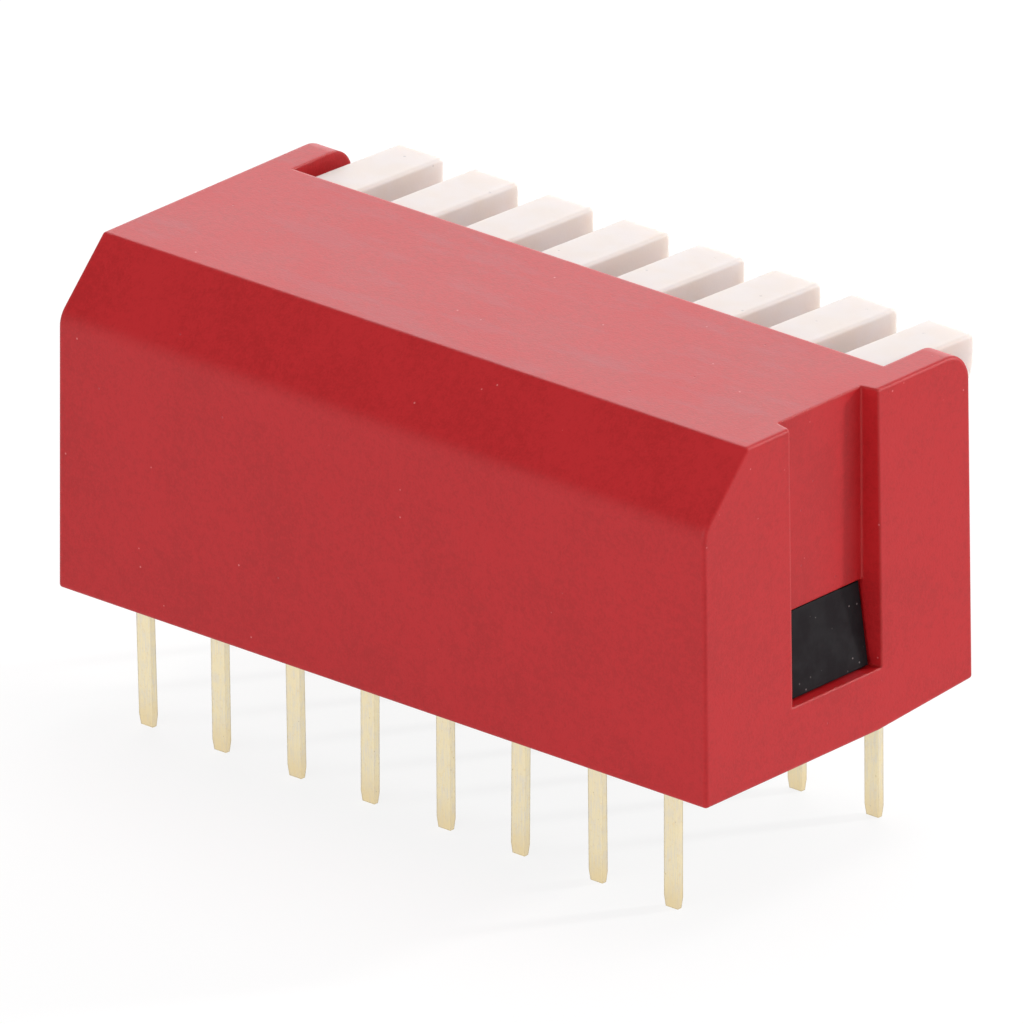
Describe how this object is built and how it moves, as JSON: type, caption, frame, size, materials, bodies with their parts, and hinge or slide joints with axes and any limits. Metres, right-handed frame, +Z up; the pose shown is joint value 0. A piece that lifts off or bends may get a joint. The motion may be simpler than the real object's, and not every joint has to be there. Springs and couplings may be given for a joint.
{
  "type": "piano key dip switch",
  "caption": "Through-hole DIP switch: red housing, a row of white side keys that rock down, and gold-plated pins in paired rows.",
  "frame": {"origin": "centre of the pin pattern, on the seating plane under the housing", "axes": "+X along the row of keys, -Y towards the front where the keys stand out, +Z up away from the board"},
  "size_m": [0.0218, 0.0118, 0.0128],
  "materials": {
    "housing": "red moulded plastic, fine matte grain",
    "base": "black moulded plastic",
    "seal": "dark potting resin",
    "terminal": "thin pale gold plating on copper alloy",
    "key": "natural white moulded plastic",
    "spring": "drawn spring wire",
    "ball": "gold-plated contact ball"
  },
  "bodies": {
    "root": {"housing": "housing", "base": "base", "bottom_seal": "seal", "front_terminal_1": "terminal", "front_terminal_2": "terminal", "front_terminal_3": "terminal", "front_terminal_4": "terminal", "front_terminal_5": "terminal", "front_terminal_6": "terminal", "front_terminal_7": "terminal", "front_terminal_8": "terminal", "back_terminal_1": "terminal", "back_terminal_2": "terminal", "back_terminal_3": "terminal", "back_terminal_4": "terminal", "back_terminal_5": "terminal", "back_terminal_6": "terminal", "back_terminal_7": "terminal", "back_terminal_8": "terminal"},
    "key_1_rocker": {"key_1": "key", "key_spring_1": "spring", "contact_ball_1": "ball"},
    "key_2_rocker": {"key_2": "key", "key_spring_2": "spring", "contact_ball_2": "ball"},
    "key_3_rocker": {"key_3": "key", "key_spring_3": "spring", "contact_ball_3": "ball"},
    "key_4_rocker": {"key_4": "key", "key_spring_4": "spring", "contact_ball_4": "ball"},
    "key_5_rocker": {"key_5": "key", "key_spring_5": "spring", "contact_ball_5": "ball"},
    "key_6_rocker": {"key_6": "key", "key_spring_6": "spring", "contact_ball_6": "ball"},
    "key_7_rocker": {"key_7": "key", "key_spring_7": "spring", "contact_ball_7": "ball"},
    "key_8_rocker": {"key_8": "key", "key_spring_8": "spring", "contact_ball_8": "ball"}
  },
  "joints": [
    {"name": "key_1_tilt", "type": "hinge", "parent": "root", "child": "key_1_rocker", "pos_m": [-0.00889, 0, 0.0056], "axis": [1, 0, 0], "range_deg": [0, 17]},
    {"name": "key_2_tilt", "type": "hinge", "parent": "root", "child": "key_2_rocker", "pos_m": [-0.00635, 0, 0.0056], "axis": [1, 0, 0], "range_deg": [0, 17]},
    {"name": "key_3_tilt", "type": "hinge", "parent": "root", "child": "key_3_rocker", "pos_m": [-0.00381, 0, 0.0056], "axis": [1, 0, 0], "range_deg": [0, 17]},
    {"name": "key_4_tilt", "type": "hinge", "parent": "root", "child": "key_4_rocker", "pos_m": [-0.00127, 0, 0.0056], "axis": [1, 0, 0], "range_deg": [0, 17]},
    {"name": "key_5_tilt", "type": "hinge", "parent": "root", "child": "key_5_rocker", "pos_m": [0.00127, 0, 0.0056], "axis": [1, 0, 0], "range_deg": [0, 17]},
    {"name": "key_6_tilt", "type": "hinge", "parent": "root", "child": "key_6_rocker", "pos_m": [0.00381, 0, 0.0056], "axis": [1, 0, 0], "range_deg": [0, 17]},
    {"name": "key_7_tilt", "type": "hinge", "parent": "root", "child": "key_7_rocker", "pos_m": [0.00635, 0, 0.0056], "axis": [1, 0, 0], "range_deg": [0, 17]},
    {"name": "key_8_tilt", "type": "hinge", "parent": "root", "child": "key_8_rocker", "pos_m": [0.00889, 0, 0.0056], "axis": [1, 0, 0], "range_deg": [0, 17]}
  ]
}
